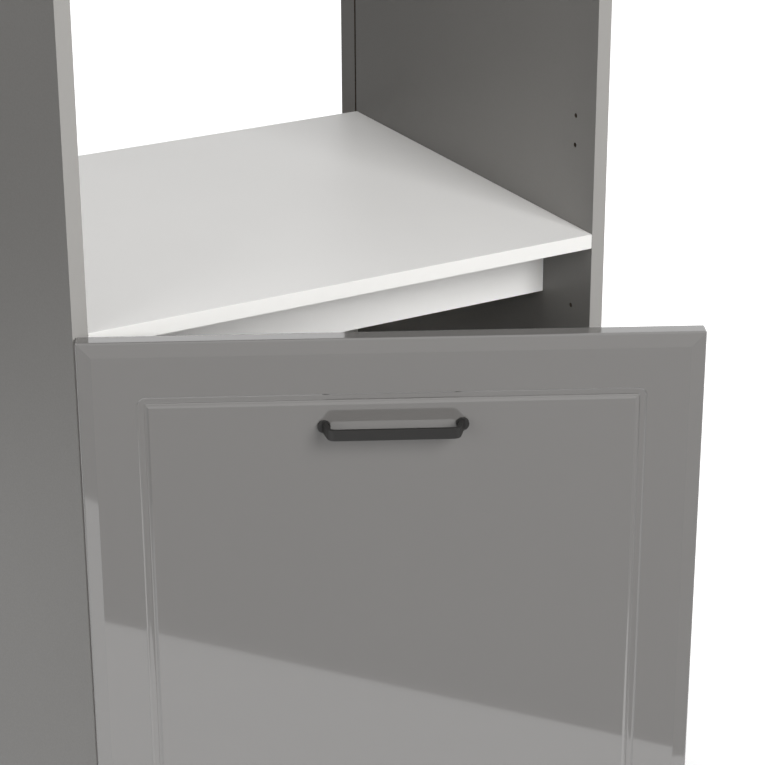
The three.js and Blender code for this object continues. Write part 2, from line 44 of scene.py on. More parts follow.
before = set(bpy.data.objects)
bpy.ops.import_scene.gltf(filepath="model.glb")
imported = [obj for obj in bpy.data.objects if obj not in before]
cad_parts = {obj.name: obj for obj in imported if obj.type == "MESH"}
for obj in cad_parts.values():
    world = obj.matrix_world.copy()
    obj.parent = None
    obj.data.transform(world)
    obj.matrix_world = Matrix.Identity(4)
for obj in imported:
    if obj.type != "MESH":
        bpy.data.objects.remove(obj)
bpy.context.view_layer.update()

MM = 0.001
GLIDE_HEIGHT = 3
INNER_LEFT, INNER_RIGHT = 16, 584
WHITE = (1, 1, 1, 1)

# How far each door stands open at rest
DOORS = {"lower": math.radians(26.43), "upper": 0.0}

# The hinge in plan on a shut door: the outer link's pins on the arm and in the cup, and its turn as a share
# of the door's
ARM_PIN = (30.2, -10.6)
CUP_PIN = (14.4, -3.3)
OUTER_LINK_SHARE = -0.52

# The left side panel's lowest front corner is the cabinet's own zero, a glide's height above the floor
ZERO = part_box("side_panel_left")[0] - Vector((0, 0, GLIDE_HEIGHT * MM))


def spot(x, y, z):
    """A place given in millimetres of the cabinet, in the frame's metres."""
    return ZERO + Vector((x, y, z)) * MM


def in_mm(place):
    """A place of the frame in millimetres of the cabinet."""
    return (place - ZERO) / MM


def limits(node):
    """Lowest and highest corner of a node in millimetres of the cabinet."""
    low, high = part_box(node)
    return in_mm(low), in_mm(high)


WIDTH = limits("side_panel_right")[1].x


# -------- sizes and colours


class CabinetSizes(bpy.types.PropertyGroup):
    """Sizes that a maker would change, in millimetres unless they are angles"""

    board_edge: FloatProperty(name="Board edge", description="Rounding of a board's long edges", default=0.7)
    door_reveal: FloatProperty(name="Door reveal", description="Door's side inset from the cabinet's side", default=2.5)
    door_gap: FloatProperty(name="Door gap", description="Air between the carcass and a shut door", default=2.0)
    door_thickness: FloatProperty(name="Door", description="Thickness of a door", default=19.0)
    door_edge: FloatProperty(name="Door edge", description="Radius of the door's front edges", default=2.2)
    margin: FloatProperty(name="Margin", description="Width of the sloping margin", default=14.5)
    margin_slope: FloatProperty(
        name="Margin slope", description="Fall of the margin", default=math.radians(10.5),
        subtype="ANGLE", unit="ROTATION",
    )
    frame_inset: FloatProperty(name="Frame inset", description="From the door's edge to the groove", default=55.0)
    groove_corner: FloatProperty(name="Groove corner", description="Radius of the groove's outer corners", default=9.0)
    handle_spacing: FloatProperty(name="Foot spacing", description="Between the handle's feet", default=132.0)
    handle_proud: FloatProperty(name="Handle proud", description="Handle's reach from the door", default=25.0)
    handle_inset: FloatProperty(name="Handle inset", description="From the door's end to the handle", default=88.0)
    strap_height: FloatProperty(name="Strap height", description="Height of the handle's strap", default=11.0)
    strap_thickness: FloatProperty(name="Strap thickness", description="Thickness of the handle's strap", default=4.0)


class CabinetColours(bpy.types.PropertyGroup):
    """Colours of the finishes as sRGB hex values"""

    # the faces' grey is drawn darker than the edge band of the same decor: painted shade on the side panels' faces
    grey_board: StringProperty(name="Grey board", description="Matt melamine of the side panels", default="7D7B78")
    grey_band: StringProperty(name="Grey band", description="Edge band of the side panels", default="9C9A97")
    white_board: StringProperty(name="White board", description="Melamine of the shelves", default="F7F6F4")
    # the band is drawn a little darker than the shelves' face of the same decor: painted shade on the brightly lit
    # front edges
    white_band: StringProperty(name="White band", description="Edge band of the shelves", default="EFEEEB")
    gloss: StringProperty(name="Gloss grey", description="Foil of the doors under its shine", default="706E6C")
    door_back: StringProperty(name="Door back", description="Melamine on the doors' backs", default="7D7B79")
    coat: StringProperty(name="Powder coat", description="Coat of the handles", default="1C1B1A")
    metal: StringProperty(name="Nickel", description="Plated hinges, pins and screws", default="BDBAB4")
    plastic: StringProperty(name="Glide plastic", description="Moulded glides", default="8E8E8C")
    chipboard: StringProperty(name="Chipboard", description="Bare chipboard edges", default="B4946C")
    hardboard: StringProperty(name="Hardboard", description="Bare rear of the thin backs", default="8A6A4A")


class StudioSettings(bpy.types.PropertyGroup):
    """Light levels and the camera"""

    ambient: FloatProperty(name="Ambient", description="Even light from all round", default=0.1)
    front: FloatProperty(name="Front lamp", description="Soft lamp in front", default=160.0, unit="POWER")
    left: FloatProperty(name="Left lamp", description="Soft lamp on the left", default=48.0, unit="POWER")
    right: FloatProperty(name="Right lamp", description="Soft lamp on the right", default=18.0, unit="POWER")
    back: FloatProperty(name="Back lamp", description="Soft lamp high behind the cabinet", default=40.0, unit="POWER")
    floor_front: FloatProperty(
        name="Floor front", description="Floor's front edge, millimetres ahead of the carcass", default=850.0
    )
    lens: FloatProperty(name="Lens", description="Focal length in millimetres", default=112.42)


def sizes():
    return bpy.context.scene.cabinet_sizes


def colours():
    return bpy.context.scene.cabinet_colours


# -------- modelling by hand


def deselect():
    bpy.ops.object.select_all(action="DESELECT")


def only(piece):
    """Nothing but this piece is selected, and it is active."""
    deselect()
    piece.select_set(True)
    bpy.context.view_layer.objects.active = piece


@contextmanager
def editing(piece, mode="FACE"):
    only(piece)
    bpy.ops.object.mode_set(mode="EDIT")
    bpy.ops.mesh.select_mode(type=mode)
    bpy.ops.mesh.select_all(action="DESELECT")
    yield
    bpy.ops.object.mode_set(mode="OBJECT")


def pick_faces(piece, test):
    """Selects the faces whose middle (millimetres) and normal pass the test."""
    bpy.ops.mesh.select_all(action="DESELECT")
    mesh = bmesh.from_edit_mesh(piece.data)
    mesh.normal_update()
    for face in mesh.faces:
        if test(in_mm(face.calc_center_median()), face.normal):
            face.select_set(True)
    bmesh.update_edit_mesh(piece.data)


def pick_edges(piece, test):
    """Selects the edges whose middle (millimetres) and direction pass the test."""
    bpy.ops.mesh.select_all(action="DESELECT")
    mesh = bmesh.from_edit_mesh(piece.data)
    for edge in mesh.edges:
        run = edge.verts[1].co - edge.verts[0].co
        if run.length and test(in_mm((edge.verts[0].co + edge.verts[1].co) / 2), run.normalized()):
            edge.select_set(True)
    bmesh.update_edit_mesh(piece.data)


def pick_points(piece, test):
    """Selects the points whose place (millimetres) passes the test."""
    bpy.ops.mesh.select_all(action="DESELECT")
    mesh = bmesh.from_edit_mesh(piece.data)
    for point in mesh.verts:
        if test(in_mm(point.co)):
            point.select_set(True)
    bmesh.update_edit_mesh(piece.data)


def facing(axis, sign=1, least=0.9):
    """A test for the faces that look along an axis."""
    return lambda place, normal: sign * normal["XYZ".index(axis)] > least


def extrude(x, y, z):
    bpy.ops.mesh.extrude_region_move(TRANSFORM_OT_translate={"value": (x * MM, y * MM, z * MM)})


def inset(width):
    bpy.ops.mesh.inset(thickness=width * MM)


def round_edges(width, segments, **settings):
    bpy.ops.mesh.bevel(offset=width * MM, segments=segments, affect="EDGES", **settings)


def settle(piece, name):
    """Names the active new piece and puts its place into its mesh."""
    piece.name = piece.data.name = name
    bpy.ops.object.transform_apply(location=True, rotation=True, scale=True)
    return piece


def block(name, low, high):
    """A block between two corners."""
    deselect()
    low, high = spot(*low), spot(*high)
    bpy.ops.mesh.primitive_cube_add(size=1, location=(low + high) / 2, scale=high - low)
    return settle(bpy.context.object, name)


TURNS = {"X": (0, math.pi / 2, 0), "Y": (math.pi / 2, 0, 0), "Z": (0, 0, 0)}


def rod(name, axis, radius, start, length, sides=32):
    """A round bar from a start place along an axis."""
    deselect()
    way = Vector([length if a == axis else 0 for a in "XYZ"])
    middle = spot(*(Vector(start) + way / 2))
    bpy.ops.mesh.primitive_cylinder_add(
        vertices=sides, radius=radius * MM, depth=abs(length) * MM, location=middle, rotation=TURNS[axis]
    )
    return settle(bpy.context.object, name)


def merge(pieces, name):
    """Several pieces as one."""
    if len(pieces) == 1:
        return pieces[0]
    deselect()
    for piece in pieces:
        piece.select_set(True)
    bpy.context.view_layer.objects.active = pieces[0]
    bpy.ops.object.join()
    pieces[0].name = pieces[0].data.name = name
    return pieces[0]


def apply_modifier(piece, kind, **settings):
    only(piece)
    bpy.ops.object.modifier_add(type=kind)
    modifier = piece.modifiers[-1]
    for key, value in settings.items():
        setattr(modifier, key, value)
    bpy.ops.object.modifier_apply(modifier=modifier.name)


def soften(piece, width, segments=2, angle=math.radians(35)):
    """Rounds every sharp edge a little, so that it catches the light."""
    apply_modifier(
        piece, "BEVEL", width=width * MM, segments=segments, limit_method="ANGLE", angle_limit=angle,
        harden_normals=False, miter_outer="MITER_ARC",
    )


def cut(piece, cutters):
    """Takes the cutters away from the piece; what they bare gets their material."""
    tool = merge(cutters, "cutter")
    apply_modifier(piece, "BOOLEAN", object=tool, operation="DIFFERENCE", solver="EXACT", material_mode="TRANSFER")
    bpy.data.objects.remove(tool)


def smooth(piece, angle=math.radians(35), crease=None):
    """Smooth shading that leaves large faces flat, with sharp lines kept where the faces meet at a crease."""
    only(piece)
    bpy.ops.object.shade_smooth_by_angle(angle=angle)
    if crease:
        with editing(piece, "EDGE"):
            pick_edges(piece, crease)
            bpy.ops.mesh.mark_sharp()
    apply_modifier(piece, "WEIGHTED_NORMAL", mode="FACE_AREA", weight=50, keep_sharp=True)


def move(piece, matrix):
    """Moves a piece by a matrix that goes into its mesh."""
    only(piece)
    piece.matrix_world = matrix
    bpy.ops.object.transform_apply(location=True, rotation=True, scale=True)
    return piece


def copy_of(piece, name, matrix):
    """A copy with its own mesh, moved by a matrix."""
    new = piece.copy()
    new.data = piece.data.copy()
    bpy.context.scene.collection.objects.link(new)
    new.name = new.data.name = name
    return move(new, matrix)


def shifted(x, y, z):
    return Matrix.Translation(Vector((x, y, z)) * MM)


def turned(angle):
    """Matrix of a turn about an upright line through the cabinet's zero."""
    return Matrix.Translation(ZERO) @ Matrix.Rotation(angle, 4, "Z") @ Matrix.Translation(-ZERO)


def paint(piece, finish, rules=()):
    """Gives the piece its material, and other ones where a rule on place and normal says so; cut faces keep theirs."""
    slots = piece.data.materials
    before = [slots[p.material_index] if slots else None for p in piece.data.polygons]
    kept = [m for m in slots if m]
    slots.clear()
    slots.append(finish)
    for other in [m for _, m in rules] + kept:
        if other.name not in [m.name for m in slots]:
            slots.append(other)
    names = [m.name for m in slots]
    for polygon, was in zip(piece.data.polygons, before):
        polygon.material_index = names.index(was.name) if was else 0
        if not was:
            for test, other in rules:
                if test(in_mm(polygon.center), polygon.normal):
                    polygon.material_index = names.index(other.name)


def finished(piece, name, angle=math.radians(35)):
    """The piece in one finish all over, smooth up to an angle."""
    paint(piece, material(name))
    smooth(piece, angle)
    return piece


def dress(piece, body, slot, *nodes):
    """The piece stands for its nodes and moves with their body."""
    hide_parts(*nodes)
    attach(piece, body)


# -------- materials


def linear(text):
    """An sRGB hex value as linear colour."""
    parts = [int(text[i : i + 2], 16) / 255 for i in (0, 2, 4)]
    return tuple(c / 12.92 if c <= 0.04045 else ((c + 0.055) / 1.055) ** 2.4 for c in parts) + (1.0,)


def toned(text, share):
    """A hex colour made lighter or darker by a share."""
    return tuple(min(c * share, 1.0) for c in linear(text)[:3]) + (1.0,)


def every(size):
    """Texture scale whose features are about this many millimetres apart."""
    return 1 / (size * MM)


def add(tree, kind, values=None, links=None, **settings):
    """Adds a node with its settings, input values and links."""
    new = tree.nodes.new(kind)
    for key, value in settings.items():
        setattr(new, key, value)
    for key, value in (values or {}).items():
        new.inputs[key].default_value = value
    for key, source in (links or {}).items():
        tree.links.new(source, new.inputs[key])
    return new


def put(node, key, value):
    """A link or a plain value for the node's own socket."""
    if isinstance(value, bpy.types.NodeSocket):
        node.id_data.links.new(value, node.inputs[key])
    else:
        node.inputs[key].default_value = value


def new_material(name):
    """An empty material: its tree, its shader and the piece's own coordinates."""
    made = bpy.data.materials.new(name)
    made.use_nodes = True
    tree = made.node_tree
    tree.nodes.clear()
    shader = add(tree, "ShaderNodeBsdfPrincipled")
    add(tree, "ShaderNodeOutputMaterial", links={"Surface": shader.outputs["BSDF"]})
    coords = add(tree, "ShaderNodeTexCoord").outputs["Object"]
    return made, tree, shader, coords


def blend_colours(tree, factor, first, second):
    mix = add(tree, "ShaderNodeMix", data_type="RGBA")
    for key, value in ((0, factor), (6, first), (7, second)):
        put(mix, key, value)
    return mix.outputs[2]


def spread(tree, source, low, high, to_low, to_high):
    return add(
        tree,
        "ShaderNodeMapRange",
        {"From Min": low, "From Max": high, "To Min": to_low, "To Max": to_high},
        {"Value": source},
    ).outputs["Result"]


def noise(tree, coords, size, detail=2.0, roughness=0.5):
    return add(
        tree, "ShaderNodeTexNoise", {"Scale": every(size), "Detail": detail, "Roughness": roughness}, {"Vector": coords}
    ).outputs["Fac"]


def bump(tree, height, distance, strength):
    values = {"Distance": distance * MM, "Strength": strength}
    return add(tree, "ShaderNodeBump", values, {"Height": height}).outputs["Normal"]


def tint(shader, factor, text, dark, light):
    """A base colour that drifts between two tones of a hex colour."""
    put(shader, "Base Color", blend_colours(shader.id_data, factor, toned(text, dark), toned(text, light)))


def sheen(shader, factor, low, high):
    """A roughness that varies with a texture's middle values."""
    put(shader, "Roughness", spread(shader.id_data, factor, 0.3, 0.7, low, high))


def melamine(name, text):
    """Pressed melamine paper on chipboard: an even decor, a pearled skin that breaks up the sheen."""
    made, tree, shader, coords = new_material(name)
    # a pearled press plate has grains of about 0.3 mm; drawn at 1.6 mm so that they show
    grain = noise(tree, coords, 1.6, 3, 0.6)
    cloud = noise(tree, coords, 240, 2)
    tint(shader, cloud, text, 0.97, 1.025)
    sheen(shader, grain, 0.4, 0.52)
    put(shader, "Normal", bump(tree, grain, 0.05, 0.25))
    put(shader, "IOR", 1.5)
    return made


def edge_band(name, text):
    """ABS edge band in the board's decor: smoother than the face, so a soft line of light runs along it."""
    made, tree, shader, coords = new_material(name)
    grain = noise(tree, coords, 2.2, 2)
    cloud = noise(tree, coords, 120, 1)
    tint(shader, cloud, text, 0.985, 1.02)
    sheen(shader, grain, 0.34, 0.42)
    put(shader, "Normal", bump(tree, grain, 0.03, 0.2))
    put(shader, "IOR", 1.53)
    return made


def chipboard(name, text):
    """Bare chipboard: pale and dark chips pressed flat, rough and matt."""
    made, tree, shader, coords = new_material(name)
    chips = add(tree, "ShaderNodeTexVoronoi", {"Scale": every(3.2), "Randomness": 1.0}, {"Vector": coords})
    shade = add(tree, "ShaderNodeSeparateColor", links={"Color": chips.outputs["Color"]}).outputs["Red"]
    tint(shader, shade, text, 0.72, 1.2)
    put(shader, "Normal", bump(tree, chips.outputs["Distance"], 0.5, 0.5))
    put(shader, "Roughness", 0.85)
    return made


def hardboard(name, text, fibre, rough):
    """Thin hardboard: wet-pressed fibres, close and even."""
    made, tree, shader, coords = new_material(name)
    fibres = noise(tree, coords, 1.4, 6, 0.7)
    cloud = noise(tree, coords, 90, 3)
    pale = blend_colours(tree, cloud, toned(text, 0.93), toned(text, 1.05))
    put(shader, "Base Color", blend_colours(tree, spread(tree, fibres, 0.35, 0.65, 0, fibre), pale, toned(text, 0.7)))
    put(shader, "Normal", bump(tree, fibres, 0.15, 0.3))
    put(shader, "Roughness", rough)
    return made


def gloss_foil(name, text):
    """High-gloss film drawn over routed MDF: a clear hard skin that mirrors the room over an even grey."""
    made, tree, shader, coords = new_material(name)
    # the film takes a little of the board's texture: long shallow waves that only bend reflections
    waves = noise(tree, coords, 70, 1)
    handled = noise(tree, coords, 130, 2)
    tint(shader, handled, text, 0.99, 1.01)
    put(shader, "Roughness", spread(tree, handled, 0.35, 0.7, 0.04, 0.07))
    put(shader, "Normal", bump(tree, waves, 0.02, 0.12))
    put(shader, "IOR", 1.56)
    put(shader, "Coat Weight", 1.0)
    put(shader, "Coat Roughness", 0.03)
    put(shader, "Coat IOR", 1.56)
    return made


def powder_coat(name, text):
    """Matt black powder coat on steel: a fine sandy skin with a broad dull sheen."""
    made, tree, shader, coords = new_material(name)
    # grains of 0.1 mm, drawn at 0.8 mm
    grains = noise(tree, coords, 0.8, 3, 0.6)
    cloud = noise(tree, coords, 25, 2)
    tint(shader, cloud, text, 0.9, 1.12)
    sheen(shader, grains, 0.4, 0.56)
    put(shader, "Normal", bump(tree, grains, 0.06, 0.4))
    put(shader, "IOR", 1.5)
    return made


def nickel(name, text, rough):
    """Nickel-plated pressed steel: warm silver with faint rolling lines."""
    made, tree, shader, coords = new_material(name)
    stretched = add(tree, "ShaderNodeMapping", {"Scale": (1, 1, 0.06)}, {"Vector": coords}).outputs["Vector"]
    lines = noise(tree, stretched, 0.5, 2)
    cloud = noise(tree, coords, 12, 2)
    tint(shader, cloud, text, 0.9, 1.06)
    sheen(shader, lines, rough * 0.8, rough * 1.3)
    put(shader, "Normal", bump(tree, lines, 0.02, 0.2))
    put(shader, "Metallic", 1.0)
    return made


def moulded(name, text):
    """Moulded polypropylene: waxy, with a fine spark-eroded grain."""
    made, tree, shader, coords = new_material(name)
    grain = noise(tree, coords, 0.7, 2)
    cloud = noise(tree, coords, 15, 1)
    tint(shader, cloud, text, 0.95, 1.04)
    put(shader, "Normal", bump(tree, grain, 0.05, 0.3))
    put(shader, "Roughness", 0.5)
    put(shader, "IOR", 1.49)
    return made


def soft_pad(name, dull, milky):
    """Clear polyurethane pad: milky, half clear, with a wet highlight."""
    made, tree, shader, coords = new_material(name)
    cloud = noise(tree, coords, 4, 2)
    put(shader, "Base Color", blend_colours(tree, cloud, linear(dull), linear(milky)))
    put(shader, "Roughness", 0.22)
    put(shader, "IOR", 1.49)
    put(shader, "Transmission Weight", 0.55)
    return made


# Every finish: its recipe, a colour as the property's name or as a hex value, and what else the recipe asks for
RECIPES = {
    "grey_melamine": (melamine, "grey_board"),
    "grey_edge_band": (edge_band, "grey_band"),
    "white_melamine": (melamine, "white_board"),
    "white_edge_band": (edge_band, "white_band"),
    "bare_chipboard": (chipboard, "chipboard"),
    # dark chipboard that lines the blind holes and the back groove: painted shade in these recesses
    "drilled_chipboard": (chipboard, "584F45"),
    "bare_mdf": (hardboard, "B5936B", 0.5, 0.8),
    "lacquered_hardboard": (hardboard, "E4E2DD", 0.12, 0.45),
    "bare_hardboard": (hardboard, "hardboard", 0.7, 0.75),
    "gloss_foil": (gloss_foil, "gloss"),
    "grey_door_back": (melamine, "door_back"),
    "black_powder_coat": (powder_coat, "coat"),
    "nickel_plated_steel": (nickel, "metal", 0.28),
    # darker nickel that lines the screws' cross recesses: painted shade
    "dark_recess_steel": (nickel, "6E6B66", 0.5),
    "moulded_plastic": (moulded, "plastic"),
    "clear_pad": (soft_pad, "D4D6D8", "E9EAEB"),
}


def material(name):
    """The named finish, made when it is first asked for."""
    if name not in bpy.data.materials:
        recipe, colour, *more = RECIPES[name]
        recipe(name, getattr(colours(), colour, colour), *more)
    return bpy.data.materials[name]


# -------- boards


REAR = facing("Y", 1, 0.8)

# The side panels' holes, toe notch and back groove; the spare pair of holes is this far above the niche floor
HOLE_SETBACK, REAR_HOLE_SETBACK = 37, 463
HOLE_RADIUS, HOLE_DEPTH = 2.5, 12
SYSTEM_PITCH = 32
SPARE_PAIR = 104
TOE_HEIGHT, TOE_DEPTH = 100, 60
BACK_GROOVE = (521.7, 525.3)
BACK_GROOVE_DEPTH = 8


def banded(band):
    """Rules for a board's edges: a band in front, bare chipboard behind."""
    return [(facing("Y", -1, 0.5), material(band)), (REAR, material("bare_chipboard"))]


def board(name, slot, face, rules=()):
    """A board in its node's place with softened edges."""
    piece = block(name + "_board", *limits(name))
    soften(piece, sizes().board_edge)
    paint(piece, material(face), rules)
    smooth(piece)
    dress(piece, "carcass", slot, name)


def thin_back(name):
    """A thin board, white inside and bare behind."""
    piece = block(name + "_board", *limits(name))
    soften(piece, 0.2, 1)
    paint(piece, material("lacquered_hardboard"), [(REAR, material("bare_hardboard"))])
    dress(piece, "carcass", "thin_back", name)


def middle_height(node):
    low, high = limits(node)
    return (low.z + high.z) / 2


def hinge_heights(prefix):
    """Middle heights of a door's hinges."""
    return [middle_height(f"{prefix}_hinge_{end}_plate") for end in ("bottom", "top")]


def pin_height(prefix):
    return middle_height(f"{prefix}_shelf_pin_left_front")


def drilled_places():
    """Depth and height of every hole in a side panel: hinge pairs, a spare pair in the niche, pin rows."""
    niche_floor = limits("niche_floor_shelf")[1].z
    heights = hinge_heights("lower") + hinge_heights("upper") + [niche_floor + SPARE_PAIR]
    places = [(HOLE_SETBACK, z + side * SYSTEM_PITCH / 2) for z in heights for side in (-1, 1)]
    for prefix in DOORS:
        for step in (-1, 0, 1):
            z = pin_height(prefix) + step * SYSTEM_PITCH
            places += [(HOLE_SETBACK, z), (REAR_HOLE_SETBACK, z)]
    return places


def side_panel(name, face_x, inward):
    """A side panel: toe notch, softened banded edges, back groove and blind system holes."""
    low, high = limits(name)
    piece = block(name + "_board", (low.x, TOE_DEPTH, low.z), tuple(high))
    with editing(piece):
        bpy.ops.mesh.select_all(action="SELECT")
        bpy.ops.mesh.bisect(plane_co=spot(0, 0, TOE_HEIGHT), plane_no=(0, 0, 1))
        pick_faces(piece, lambda place, normal: normal.y < -0.5 and place.z > TOE_HEIGHT)
        extrude(0, -TOE_DEPTH, 0)
    soften(piece, sizes().board_edge)
    near, far = sorted((face_x - inward * BACK_GROOVE_DEPTH, face_x + inward))
    groove = block("groove", (near, BACK_GROOVE[0], -5), (far, BACK_GROOVE[1], high.z + 5))
    # the groove's inside is lined dark: painted shade
    groove.data.materials.append(material("drilled_chipboard"))
    cut(piece, [groove])
    holes = []
    # each hole is lined dark: painted shade in the hole
    for y, z in drilled_places():
        start = (face_x - inward * HOLE_DEPTH, y, z)
        hole = rod("hole", "X", HOLE_RADIUS, start, inward * (HOLE_DEPTH + 1), 24)
        hole.data.materials.append(material("drilled_chipboard"))
        holes.append(hole)
    cut(piece, holes)
    paint(piece, material("grey_melamine"), banded("grey_edge_band"))
    smooth(piece)
    dress(piece, "carcass", "grey_board", name)


class CABINET_OT_boards(bpy.types.Operator):
    """Side panels, level boards, rails, plinth and thin backs"""

    bl_idname = "cabinet.boards"
    bl_label = "Carcass boards"

    def execute(self, context):
        side_panel("side_panel_left", limits("side_panel_left")[1].x, 1)
        side_panel("side_panel_right", limits("side_panel_right")[0].x, -1)
        for name in ("bottom_panel", "niche_floor_shelf", "niche_top_shelf", "top_panel", "lower_shelf", "upper_shelf"):
            board(name, "white_board", "white_melamine", banded("white_edge_band"))
        board("niche_front_rail", "white_board", "white_melamine")
        board("rear_fixing_rail", "white_board", "white_melamine")
        board("plinth_board", "grey_board", "grey_melamine")
        for name in ("lower_back_panel", "upper_back_panel"):
            thin_back(name)
        return {"FINISHED"}


# -------- small carcass parts


PEG_RADIUS = 2.3


def shelf_pin():
    """A turned pin: peg, collar and a short arm with a rounded end. Modelled at zero along X."""
    peg, collar, arm = 9, 0.8, 7.2
    collar_radius = 4
    wider = collar_radius / PEG_RADIUS
    pin = rod("pin", "X", PEG_RADIUS, (-peg, 0, 0), peg, 24)
    with editing(pin):
        pick_faces(pin, facing("X"))
        bpy.ops.mesh.extrude_region_move()
        bpy.ops.transform.resize(value=(1, wider, wider), center_override=spot(0, 0, 0))
        extrude(collar, 0, 0)
        inset(1)
        extrude(arm, 0, 0)
    soften(pin, 0.35, 3)
    return finished(pin, "nickel_plated_steel")


def glide():
    """A nail-on glide: a low disc with a domed rim, modelled at zero."""
    radius, rim, hollow = 7, 4.2, 0.9
    disc = rod("glide", "Z", radius, (0, 0, 0), GLIDE_HEIGHT, 40)
    with editing(disc):
        pick_faces(disc, facing("Z", -1))
        inset(rim)
        extrude(0, 0, hollow)
    soften(disc, 0.6, 3)
    return finished(disc, "moulded_plastic")


class CABINET_OT_fittings(bpy.types.Operator):
    """Shelf pins and glides"""

    bl_idname = "cabinet.fittings"
    bl_label = "Pins and glides"

    def execute(self, context):
        pin = shelf_pin()
        for prefix in DOORS:
            for side, x, turn in (("left", INNER_LEFT, 0), ("right", INNER_RIGHT, math.pi)):
                for end, y in (("front", HOLE_SETBACK), ("rear", REAR_HOLE_SETBACK)):
                    node = f"{prefix}_shelf_pin_{side}_{end}"
                    place = shifted(x, y, pin_height(prefix)) @ turned(turn)
                    dress(copy_of(pin, node + "_turned", place), "carcass", "nickel_steel", node)
        bpy.data.objects.remove(pin)
        foot = glide()
        for side in ("left", "right"):
            for end in ("front", "rear"):
                node = f"glide_{side}_{end}"
                low, high = limits(node)
                middle = (low + high) / 2
                piece = copy_of(foot, node + "_disc", shifted(middle.x, middle.y, 0))
                dress(piece, "carcass", "grey_plastic", node)
        bpy.data.objects.remove(foot)
        return {"FINISHED"}


# -------- doors


def turned_about(centre, point, clockwise):
    """A plan place turned clockwise about another, as a door opens."""
    c, s = math.cos(clockwise), math.sin(clockwise)
    x, y = point[0] - centre[0], point[1] - centre[1]
    return centre[0] + x * c + y * s, centre[1] - x * s + y * c


def opened(angle):
    """Matrix that carries the parts of a shut door to where they stand when it is open by an angle."""
    x, y = turned_about(ARM_PIN, CUP_PIN, OUTER_LINK_SHARE * angle)
    there = Matrix.Translation(spot(x, y, 0))
    back = Matrix.Translation(-spot(*CUP_PIN, 0))
    return there @ Matrix.Rotation(-angle, 4, "Z") @ back


def door_front():
    return -sizes().door_gap - sizes().door_thickness


def door_span(prefix):
    """Lowest and highest place of a door."""
    low, high = limits(prefix + "_door")
    return low.z, high.z


CUP_X = 23
POCKET_RADIUS, POCKET_DEPTH = 17.5, 13.2
SCREW_HOLE_RADIUS = 2.3

# Section of the routed groove: distance in from its outer edge and depth under the door's face.
# A steep lip, a narrow floor that bulges a little, a step down and a slope up to the field.
GROOVE_SECTION = (
    (0.25, 0.3), (1.3, 1.35), (1.7, 1.55), (2.4, 1.62), (3.4, 1.58), (4.5, 1.56), (5.6, 1.58), (6.4, 1.64), (6.65, 1.8),
    (7.25, 2.38), (7.5, 2.46), (7.85, 2.42), (8.94, 1.66),
)
GROOVE_SHOULDER = ((9.8, 1.05), (10.5, 0.56), (11.0, 0.25), (11.35, 0.07), (11.6, 0.0))


def rounded_patch(name, low, high, y, radius):
    """A flat face with rounded corners, at the front of a door."""
    deselect()
    a, b = spot(low[0], y, low[1]), spot(high[0], y, high[1])
    bpy.ops.mesh.primitive_plane_add(size=1, location=(a + b) / 2, rotation=(math.pi / 2, 0, 0))
    bpy.context.object.scale = (b.x - a.x, b.z - a.z, 1)
    patch = settle(bpy.context.object, name)
    with editing(patch, "VERT"):
        bpy.ops.mesh.select_all(action="SELECT")
        bpy.ops.mesh.bevel(offset=radius * MM, segments=10, affect="VERTICES", clamp_overlap=False)
    return patch


def sink(width, depth):
    """Insets the selected face and pushes it into the door."""
    bpy.ops.mesh.inset(thickness=width * MM, depth=0, use_even_offset=True)
    if depth:
        bpy.ops.transform.translate(value=(0, depth * MM, 0))


def run_steps(steps, start):
    """Insets and sinks the selected face through the steps of a section."""
    used, depth = start
    for across, down in steps:
        sink(across - used, down - depth)
        used, depth = across, down


def field_patch(x0, x1, z0, z1, front):
    """The field with its routed groove: rounded outer corners that die into mitred inner ones."""
    patch = rounded_patch("field", (x0, z0), (x1, z1), front, sizes().groove_corner)
    with editing(patch):
        bpy.ops.mesh.select_all(action="SELECT")
        run_steps(GROOVE_SECTION, (0, 0))
        # the corner arcs have shrunk to almost nothing here, so each becomes one point
        bpy.ops.mesh.remove_doubles(threshold=0.8 * MM)
        run_steps(GROOVE_SHOULDER, GROOVE_SECTION[-1])
    return patch


